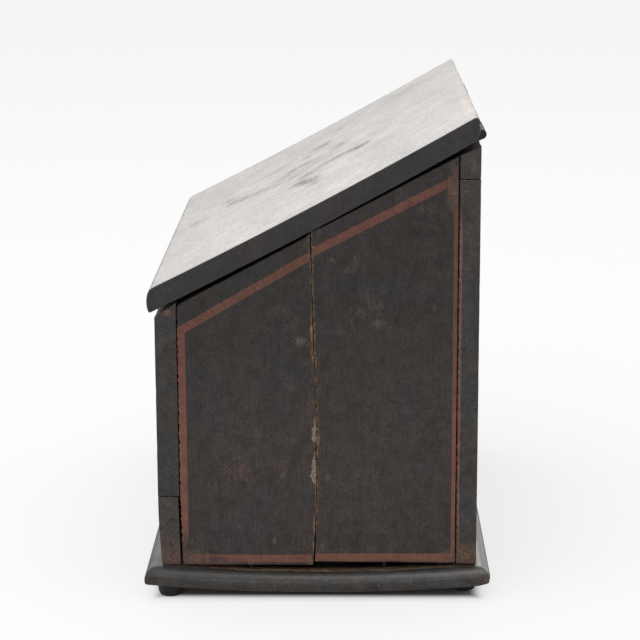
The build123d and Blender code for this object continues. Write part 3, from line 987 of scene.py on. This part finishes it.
low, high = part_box("back_lower_board")
caseBoard(
    "back_lower_board",
    "backLowerPlank",
    [(low.y, low.z), (high.y, low.z), (high.y, high.z), (low.y, high.z)],
    {
        **endBoard,
        "painted": "back right left top",
        "seed": 31.0,
        "bevel": 0.15 * mm,
        "shape": openBackGroove,
        "cutters": nailHoles([(backFace, caseBottom + z * mm) for z in backBoards["lowerNails"]], "back"),
    },
    backPaint,
    backWood,
    rub=spots((84, 24, 13, 13, 1.25), (79, 36, 3, 12, 0.8), (82, 237, 9, 5, 0.3), (79, 180, 2, 90, 0.35))
    + spots((90, 30, 20, 20, 0.6), x=0, xSize=150)
    + spots((90, 150, 20, 50, 0.4), x=-60, xSize=60),
    scuff=spots((90, 130, 20, 40, 0.5), x=60, xSize=60),
    seam=backSpecks,
    faded=spots((80, 235, 6, 30, 1.2), (80, 120, 4, 60, 0.35)),
)

# Hinge leaves are let into the back top board and the lid
hingeLook = {
    "length": 38.2 * mm,
    "reach": 28.0 * mm,
    "height": 5.4 * mm,
    "past": 14.1 * mm,  # from the pin to the pocket's inner end
    "bodyAngle": 23.26,  # degrees
    "lidAngle": 29.5,
}
pinPlace = Vector(frame["joints"][0]["pos_m"])


def hingePockets(angle):
    slope = Matrix.Rotation(math.radians(angle), 4, "X")
    size = Matrix.Diagonal((hingeLook["length"], hingeLook["reach"], hingeLook["height"], 1))
    centre = Matrix.Translation((0, hingeLook["reach"] / 2 - hingeLook["past"], 0))
    pockets = []
    for side in ("left", "right"):
        middle = sum(corner.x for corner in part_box(f"{side}_hinge_pin")) / 2
        place = Matrix.Translation((middle, pinPlace.y, pinPlace.z))
        pockets.append(partial(bmesh.ops.create_cube, size=1, matrix=place @ slope @ centre @ size))
    return pockets


low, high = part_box("back_top_board")
caseBoard(
    "back_top_board",
    "backTopPlank",
    [
        (low.y, low.z),
        (high.y, low.z),
        (high.y, slopeLine(high.y) + caseSizes["backTopOuter"]),
        (low.y, slopeLine(low.y) + caseSizes["backTopInner"]),
    ],
    {
        **endBoard,
        "painted": "back right left top bottom",
        "seed": 37.0,
        "shape": openBackGroove,
        "cutters": hingePockets(hingeLook["bodyAngle"])
        + nailHoles([(backFace, low.z + backBoards["topNailRise"])], "back"),
    },
    backPaint,
    backWood,
    rub=spots((80, 252, 4, 6, 0.3)),
    # a painted highlight: the end is painted paler towards its back edge
    scuff=spots((86, 248, 7, 10, 0.6)),
    faded=spots((80, 246, 12, 14, 2.0)),
)
print("back boards made")

# Lid: one cupped board, square across its ends, upright at its front and back edges
lidSizes = {
    "slope": 27.9287,  # degrees
    "thickness": 13.582 * mm,  # measured upright
    "frontBulge": 1.5 * mm,
    "backBulge": 2.1 * mm,
    "bulgeReach": 8 * mm,
    "cup": 1.698 * mm,
    "middle": 211.92 * mm,  # height of the underside at the middle of its width
    "below": 0.02 * mm,  # how far the top stays below the CAD lid's top
    "round": 1.0 * mm,
    "topFrontRound": 2.4 * mm,
    "topBackRound": 1.4 * mm,
    "endRound": 0.5 * mm,
}
lidLow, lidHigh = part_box("lid_board")
lidFront, lidBack = lidLow.y + lidSizes["frontBulge"], lidHigh.y - lidSizes["backBulge"]
lidMiddle = (lidFront + lidBack) / 2
lidHalf = (lidBack - lidFront) / 2
lidTan = math.tan(math.radians(lidSizes["slope"]))
lidThick = lidSizes["thickness"]


def lidUnderside(y):
    return lidSizes["middle"] + (y - lidMiddle) * lidTan + lidSizes["cup"] * ((y - lidMiddle) / lidHalf) ** 2


def lidShape(points):
    swell = 1 - (2 * points[:, 2] / lidThick - 1) ** 2
    toFront = fade(points[:, 1] - lidFront, lidSizes["bulgeReach"])
    toBack = fade(lidBack - points[:, 1], lidSizes["bulgeReach"])
    points[:, 1] += swell * (toBack * lidSizes["backBulge"] - toFront * lidSizes["frontBulge"])
    raised = points[:, 2] + lidUnderside(points[:, 1])
    points[:, 2] = np.minimum(raised, lidHigh.z - lidSizes["below"])
    return points


def longArris(y, z):
    def chosen(edge):
        return mainAxis(edge) == 0 and all(abs(v.co.y - y) + abs(v.co.z - z) < 1e-6 for v in edge.verts)

    return chosen


def acrossX(edge):
    # edges of an end face, before or after the long edges are rounded
    xs = [v.co.x for v in edge.verts]
    return abs(xs[0] - xs[1]) < 1e-7 and min(abs(abs(x) - lidHigh.x) for x in xs) < 1e-6


lid = makeBoard(
    "lidPlank",
    [(lidFront, 0), (lidBack, 0), (lidBack, lidThick), (lidFront, lidThick)],
    (lidLow.x, lidHigh.x),
    {
        "painted": "front back right left top",
        "rounds": [
            (longArris(lidFront, lidThick), lidSizes["topFrontRound"], 5),
            (longArris(lidBack, lidThick), lidSizes["topBackRound"], 4),
            (longArris(lidFront, 0), lidSizes["round"], 3),
            (longArris(lidBack, 0), lidSizes["round"], 3),
            (acrossX, lidSizes["endRound"], 2),
        ],
        "seed": 41.0,
        "softDepth": 0.18 * mm,
        "shape": lidShape,
        "cutters": hingePockets(hingeLook["lidAngle"]),
    },
)


def lidSpot(x, y, xSize, ySize, strength):
    # millimetres, on the lid's top
    z = lidUnderside(y * mm) + lidThick
    return ((x * mm, y * mm, z), (xSize * mm, ySize * mm, 30 * mm), strength)


lidLine = {
    "across": 0,
    "up": 1,
    "left": lidLow.x - 20 * mm,  # worn off at the front and at both ends
    "right": lidHigh.x + 20 * mm,
    "low": lidFront - 20 * mm,
    "high": lidBack - 0.5 * mm,
    "slope": 0.0,
    "width": 4.6 * mm,
    "ragged": 3.0 * mm,
}
lidPaint = paintMaterial(
    "lidPaint",
    {
        "border": lidLine,
        "grain": (0.035, 1.0, 1.0),
        "shift": (0.2, 0.9, 0.5),
        "cool": shade(43, 43, 45),
        "warm": shade(46, 42, 41),
        "line": shade(92, 72, 68),
        "bareDark": shade(70, 57, 47),
        # pale wood, partly a painted highlight on the lid's nose
        "bareLight": shade(168, 152, 132),
        "scuffed": shade(60, 57, 56),
        "contrast": 0.7,
        "roughness": 0.5,
        "specular": 0.24,
        "coat": 0.82,
        "coatRoughness": 0.32,
        "coatVary": 0.32,
        "coatScuff": 0.66,
        "loss": 0.05,
        "specks": 0.0,
        "ticks": 0.0,
        "lineWear": 0.50,
    },
)
lidScuffs = [  # x, y, half sizes along x and y, strength
    (23, 24, 13, 12, 1.0), (16, 8, 9, 30, 0.72), (17, 18, 12, 13, 0.75), (-67, 1, 15, 12, 0.8),
    (-72, -4, 14, 12, 0.6), (-30, 12, 14, 12, 0.66), (-53, -9, 13, 14, 0.6), (-26, -9, 13, 12, 0.7),
    (-24, -18, 13, 13, 0.75), (-15, -22, 14, 13, 0.72), (5, -16, 13, 12, 0.75), (26, -7, 12, 12, 0.75),
    (44, -11, 13, 11, 1.0), (51, -7, 12, 11, 1.0), (58, -4, 12, 11, 0.8), (72, -3, 12, 9, 0.7),
    (-6, -14, 40, 34, 0.42), (-19, -55, 13, 11, 0.75), (-12, -48, 12, 11, 0.75),
    (-11, -44, 11, 13, 0.66), (-37, -59, 14, 13, 0.62), (-6, -38, 11, 20, 0.6), (3, -28, 11, 18, 0.62),
    (-1, 37, 7, 34, 0.55), (-9, -75, 18, 20, 0.5), (-60, -30, 24, 30, 0.45), (60, 30, 24, 26, 0.35),
    (-110, 10, 40, 45, 0.42), (-120, 55, 40, 40, 0.45),
]


lidWear = {
    "lineFrom": 60 * mm,  # from this x the line fades towards the far end
    "lineOver": 170 * mm,
    "noseDeep": 2.2 * mm,
    "noseLong": 2.0 * mm,
    "chipReach": 3.0 * mm,
    "chipFrom": -60 * mm,  # from this x the chips along the back arris grow towards the near end
    "chipOver": 80 * mm,
}


def lidGloss(points):
    # the sheen is duller towards the far end
    return 1.0 - 0.30 * rise(lidHigh.x - points[:, 0], lidHigh.x - lidLow.x)


def lidFaded(points):
    # the line is left only along the near part of the top's back edge
    farther = rise(lidWear["lineFrom"] - points[:, 0], lidWear["lineOver"])
    return 0.32 + 0.7 * farther + 2.0 * (readNormals(lid.data)[:, 2] < 0.5)


def lidNoseWearAndHighlight(points):
    # worn pale where the back edge meets the near end, partly a painted highlight where the rounded edge
    # catches the light, and chipped along the top back arris
    x, y, z = points.T
    nose = fade(lidHigh.y - y, lidWear["noseDeep"]) * fade(lidHigh.x - x, lidWear["noseLong"])
    fromArris = np.abs(y - lidBack) + np.abs(z - lidUnderside(y) - lidThick)
    alongEdge = rise(x - lidWear["chipFrom"], lidWear["chipOver"])
    return np.maximum(0.8 * nose, 0.85 * fade(fromArris, lidWear["chipReach"]) * alongEdge)


dress(
    lid,
    "lid_board",
    "lid",
    "lid_paint",
    lidPaint,
    woodMaterial("lidWood", {"shift": (0.7, 0, 0.1)}),
    scuff=[lidSpot(*place) for place in lidScuffs],
    faded=lidFaded,
    gloss=lidGloss,
    seam=lidNoseWearAndHighlight,
    rub=spots((-8.2, 218, 3, 3, 0.8), (-25, 196, 2, 2, 0.8), (86, 268, 3, 5, 0.6), x=153.5, xSize=10),
)
print("lid made")

# Base board: a rounded board, cupped so that its middle hangs below its long edges
baseSizes = {
    "thickness": 10.5 * mm,
    "cup": 4.4 * mm,
    "topRound": 7.0 * mm,
    "bottomRound": 2.5 * mm,
    "footHeight": 8.2 * mm,
    "footInset": 14.0 * mm,  # from the long edge
}
baseThick = baseSizes["thickness"]
baseLow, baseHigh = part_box("base_board")
baseRadius = (baseHigh.y**2 + baseSizes["cup"] ** 2) / (2 * baseSizes["cup"])
lowerRadius = baseRadius + baseThick
footY = baseHigh.y - baseSizes["footInset"]
arcCentre = baseSizes["footHeight"] + math.sqrt(lowerRadius**2 - footY**2)


def baseUnderside(y):
    return arcCentre - np.sqrt(lowerRadius**2 - y**2)


def baseTop(y):
    return arcCentre - np.sqrt(baseRadius**2 - y**2)


# A shallow groove between the flat and the rounded edge, on the near end
quirkLook = {
    "x": 153.8 * mm,
    "half": 1.3 * mm,
    "depth": 0.8 * mm,
    "from": -60 * mm,
    "to": 62 * mm,
    "startsOver": 30 * mm,
    "endsOver": 20 * mm,
}


def quirkDepth(points):
    x, y, z = points.T
    across = fade(np.abs(x - quirkLook["x"]), quirkLook["half"])
    start = rise(y - quirkLook["from"], quirkLook["startsOver"])
    end = rise(quirkLook["to"] - y, quirkLook["endsOver"])
    return quirkLook["depth"] * across * start * end * (z > 0.9 * baseThick)


def baseShape(points):
    under, over = baseUnderside(points[:, 1]), baseTop(points[:, 1])
    points[:, 2] = under + points[:, 2] / baseThick * (over - under) - quirkDepth(points)
    return points


def topRim(edge):
    return all(v.co.z > baseThick - 1e-6 for v in edge.verts)


def bottomRim(edge):
    return all(v.co.z < 1e-6 for v in edge.verts)


base = makeBoard(
    "basePlank",
    [(baseLow.y, 0), (baseHigh.y, 0), (baseHigh.y, baseThick), (baseLow.y, baseThick)],
    (baseLow.x, baseHigh.x),
    {
        "painted": "front back right left top",
        "rounds": [(topRim, baseSizes["topRound"], 12), (bottomRim, baseSizes["bottomRound"], 4)],
        "insets": (),
        "reach": 6.0 * mm,
        "softDepth": 0.2 * mm,
        "chipDepth": 0.5 * mm,
        "seed": 43.0,
        "chips": [((baseHigh.x, baseHigh.y, 10 * mm), 7 * mm, 1.5 * mm)],
        "cuts": [((quirkLook["x"] + shift * mm, 0, 0), (1, 0, 0)) for shift in (-1.3, -0.7, 0.0, 0.7, 1.3)],
        "shape": baseShape,
    },
)
basePaint = paintMaterial(
    "basePaint",
    {
        "grain": (1.0, 0.035, 1.0),
        "shift": (0.5, 0.5, 0.5),
        "cool": shade(49, 49, 50),
        "warm": shade(54, 49, 45),
        "bareLight": shade(152, 130, 104),
        "contrast": 1.2,
        "roughness": 0.5,
        "specular": 0.26,
        "coat": 1.0,
        "coatVary": 0.3,
        "specks": 0.02,
    },
)


baseWear = {
    "flatX": 152.8 * mm,  # how far the bare flat under the case reaches
    "flatY": 88.0 * mm,
    "flatWaver": 0.5 * mm,
    "flatSoftX": 0.8 * mm,
    "flatSoftY": 1.5 * mm,
    "stripFrom": 139 * mm,
    "stripTo": 148.3 * mm,
    "stripSoft": 3 * mm,
    "dirtHalf": 72 * mm,  # along Y
    "dirtPast": 150 * mm,  # along X
    "dirtLine": (2.6 * mm, 0.9 * mm),  # how far below the top, and half its width
    "quirkDeep": 2.5 * mm,
    "paleLine": (4.2 * mm, 1.3 * mm),
    "palePast": 155 * mm,
    "ledge": -92 * mm,
    "ledgeSoft": 2 * mm,
}


def paintedShadowUnderSides(points):
    # painted shadow: a dark strip on the base below the side boards, where the case shades it
    outX = np.abs(points[:, 0])
    return rise(baseWear["stripTo"] - outX, baseWear["stripSoft"]) * (outX > baseWear["stripFrom"])


def baseFlat(points):
    # under the case the base never was painted; the aged wood shows where the board has sunk
    x, y = np.abs(points[:, :2].T)
    flatX = baseWear["flatX"] + baseWear["flatWaver"] * roughAlong(points[:, 1], 8.0, 90.0)
    flat = rise(flatX - x, baseWear["flatSoftX"]) * rise(baseWear["flatY"] - y, baseWear["flatSoftY"])
    return flat * (1 - paintedShadowUnderSides(points)) * (readNormals(base.data)[:, 2] > 0.5)


def belowTop(points):
    return baseTop(points[:, 1]) - points[:, 2]


def edgeLine(points, drop, half):
    # a line round the rounded edge
    return fade(np.abs(belowTop(points) - drop), half)


def baseDarkLines(points):
    # the quirk and a dotted line along the rounded edge of the ends are painted dark
    x, y = np.abs(points[:, :2].T)
    middle = np.clip(1.2 - y / baseWear["dirtHalf"], 0, 1) * (x > baseWear["dirtPast"])
    dotted = np.clip(0.5 + 1.2 * roughAlong(points[:, 1], 4.0, 260.0), 0, 1)
    quirk = np.clip(1.9 - 1.7 * np.abs(x - quirkLook["x"]) / quirkLook["half"], 0, 1)
    quirk *= belowTop(points) < baseWear["quirkDeep"]
    return middle * np.maximum(0.6 * edgeLine(points, *baseWear["dirtLine"]) * dotted, quirk)


def baseShadeAndDarkLines(points):
    # the painted shadow below the side boards, and the dark lines
    return 3.6 * np.maximum(baseDarkLines(points), paintedShadowUnderSides(points))


def baseGloss(points):
    # the back ledge is shinier than the front one
    onLedge = rise(baseWear["ledge"] - points[:, 1], baseWear["ledgeSoft"])
    gloss = np.clip(0.68 + 0.42 * points[:, 1] / baseHigh.y, 0, 1.15) * (1 - 0.8 * onLedge)
    return gloss * (1 - 0.95 * baseDarkLines(points))


def baseScuff(points):
    # a paler line below the rounded edge, and the worn front ledge
    pale = edgeLine(points, *baseWear["paleLine"]) * (np.abs(points[:, 0]) > baseWear["palePast"])
    ledge = spotMask(points, spots((-90.5, 18.5, 4.5, 10, 0.6), x=0, xSize=170))
    return np.maximum(0.55 * pale, ledge)


dress(
    base,
    "base_board",
    "case",
    "base_paint",
    basePaint,
    woodMaterial("baseWood", {"shift": (0.1, 0.3, 0.9)}),
    rub=spots((96.5, 14, 4, 6, 0.9), x=158.5, xSize=5)
    + spots((-20, 16.5, 50, 4, 0.35), x=154.5, xSize=2.5)
    + spots((-94, 19, 4, 4, 0.4), x=157, xSize=6),
    raw=baseFlat,
    gloss=baseGloss,
    grime=baseShadeAndDarkLines,
    scuff=baseScuff,
)
print("base made")

# Feet: turned, each cut to the cupped base
footSizes = {
    "topRadius": 7.5 * mm,
    "bottomRadius": 5.0 * mm,
    "turned": 5.6 * mm,  # height of the widest turn
    "round": 0.6 * mm,
    "lip": 0.2 * mm,
    "turns": 48,
    "steps": 8,
}


def makeFoot(name, x, y):
    turned, lowRadius, highRadius = (footSizes[key] for key in ("turned", "bottomRadius", "topRadius"))
    top = baseSizes["footHeight"] + 2 * mm
    outline = [(0.0, 0.0), (lowRadius - footSizes["round"], 0.0)]
    for i in range(footSizes["steps"] + 1):
        angle = math.radians(-78 + 78 * i / footSizes["steps"])
        radius = lowRadius + (highRadius - lowRadius) * math.cos(angle) - footSizes["lip"] * (i == 0)
        outline.append((radius, turned + turned * math.sin(angle)))
    outline += [(highRadius, turned + 0.5 * mm), (highRadius, top), (0.0, top)]
    bm = bmesh.new()
    rim = [bm.verts.new((r, 0, z)) for r, z in outline]
    geom = rim + [bm.edges.new(pair) for pair in zip(rim, rim[1:])]
    turn = {"cent": (0, 0, 0), "axis": (0, 0, 1), "angle": 2 * math.pi, "steps": footSizes["turns"]}
    bmesh.ops.spin(bm, geom=geom, use_merge=True, **turn)
    bmesh.ops.remove_doubles(bm, verts=bm.verts[:], dist=1e-6)
    bmesh.ops.recalc_face_normals(bm, faces=bm.faces[:])
    for v in bm.verts:
        v.co.x += x
        v.co.y += y
        if v.co.z > top - 1e-6:
            v.co.z = float(baseUnderside(v.co.y))
        else:
            v.co += Vector((v.normal.x, v.normal.y, 0)) * 0.08 * mm * (noise.noise(v.co * 300) - 0.5)
    piece = newPiece(name, bm)
    smoothShading(piece.data)
    return piece


footLook = {"cool": shade(34, 34, 35), "warm": shade(40, 36, 33), "roughness": 0.5, "specks": 0.02}
footPaint = paintMaterial("footPaint", {**footLook, "scratches": 0.2})
for corner in ("front_left", "front_right", "back_left", "back_right"):
    footLow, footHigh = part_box(f"foot_{corner}")
    centre = (footLow + footHigh) / 2
    foot = makeFoot(f"foot_{corner}_turned", centre.x, centre.y)
    dress(foot, f"foot_{corner}", "case", "foot_paint", footPaint, footPaint)
print("feet made")


# Hinges, screws and nails keep their shapes and get aged iron
def ironMaterial(name, dark, rust, share, roughness=0.55):
    material, tree, shader, place = newMaterial(name)
    patch = cloud(place, 260.0, 5, 0.65)
    pits = cloud(place, 1400.0, 3, 0.6)
    mask = smoothStep(patch, 0.62 - share * 0.4, 0.75 - share * 0.3)
    colour = tinted(mixColour(mask, dark, rust), grey(spread(pits, 0.7, 1.3)))
    feed(shader["Base Color"], colour)
    feed(shader["Metallic"], spread(mask, 0.75, 0.05))
    feed(shader["Roughness"], plus(spread(pits, -0.1, 0.15), roughness))
    bump(shader, plus(pits, mask), 0.05 * mm)
    return material


hingeIron = ironMaterial("hingeIron", shade(50, 46, 42), shade(56, 45, 36), 0.45)
screwIron = ironMaterial("screwIron", shade(92, 84, 75), shade(80, 58, 42), 0.3, 0.45)
# the nails are painted near black, a painted shade, so that where they show in the gaps they stay as dark as
# the shade there
shadedNailIron = ironMaterial("shadedNailIron", shade(30, 28, 26), shade(40, 32, 27), 1.1, 0.75)
for name, shownNode in frame["nodes"].items():
    if "hinge" in name or "nails" in name:
        metal = shadedNailIron if "nails" in name else screwIron if "screws" in name else hingeIron
        for holder in shownNode.material_slots:
            holder.material = metal
print("metal dressed")

# Floor, light and air
studio = {
    "floorLit": (0.30, 0.30, 0.298, 1.0),  # as the camera sees it, with a glow that holds the white
    "floorPaper": (0.90, 0.90, 0.895, 1.0),
    "floorGlow": 0.665,
    # a painted shadow: under the base the floor gets no glow and is darker there, on top of its real shadow
    "darkUnder": (147 * mm, 86 * mm),  # the glow stops under the base, so that the shadow there stays
    "darkSoft": 9 * mm,
    "floorSize": 14.0,
    "world": 0.78,
    "backdrop": 0.955,  # the white behind the object, as the camera and reflections see it
    "top": {"place": (0.3, -0.2, 2.4), "size": 2.4, "power": 22.0},
    "near": {"place": (2.6, -1.2, 2.0), "size": 2.0, "power": 16.0},
    "back": {"place": (-4.7, -0.6, 1.15), "size": 3.2, "power": 44.0, "tint": (1.0, 0.94, 0.88)},
    "aim": (0.0, 0.0, 0.13),
}
bm = bmesh.new()
bmesh.ops.create_grid(bm, x_segments=8, y_segments=8, size=studio["floorSize"])
floor = newPiece("floor", bm)
material, tree, shader, place = newMaterial("floorPaper")
seen = tree.nodes.new("ShaderNodeLightPath").outputs["Is Camera Ray"]
feed(shader["Base Color"], mixColour(seen, studio["floorPaper"], studio["floorLit"]))
shader["Emission Color"].default_value = (1.0, 1.0, 1.0, 1.0)
parts = splitUp(place)
outX, outY = (minus(calc("ABSOLUTE", parts[i]), studio["darkUnder"][i]) for i in (0, 1))
openFloor = smoothStep(most(outX, outY), 0.0, studio["darkSoft"])
feed(shader["Emission Strength"], times(seen, openFloor, studio["floorGlow"]))
shader["Roughness"].default_value = 0.9
shader["Specular IOR Level"].default_value = 0.0
floor.data.materials.append(material)

world = bpy.data.worlds.new("studio")
bpy.context.scene.world = world
world.use_nodes = True
background = world.node_tree.nodes["Background"].inputs
background["Color"].default_value = (1.0, 1.0, 1.0, 1.0)
rays = world.node_tree.nodes.new("ShaderNodeLightPath").outputs
seen = most(rays["Is Camera Ray"], rays["Is Glossy Ray"], rays["Is Transmission Ray"])
feed(background["Strength"], spread(seen, studio["world"], studio["backdrop"]))

for name in ("top", "near", "back"):
    lamp = studio[name]
    light = bpy.data.lights.new(name + "Lamp", "AREA")
    light.shape = "SQUARE"
    light.size = lamp["size"]
    light.energy = lamp["power"]
    light.color = lamp.get("tint", (1.0, 1.0, 1.0))
    holder = bpy.data.objects.new(name + "Lamp", light)
    holder.location = lamp["place"]
    toward = Vector(studio["aim"]) - Vector(lamp["place"])
    holder.rotation_euler = toward.to_track_quat("-Z", "Y").to_euler()
    holder.visible_camera = False
    holder.visible_diffuse = name != "back"  # the back lamp is only a card for the lid to reflect
    bpy.context.scene.collection.objects.link(holder)
print("studio lit")
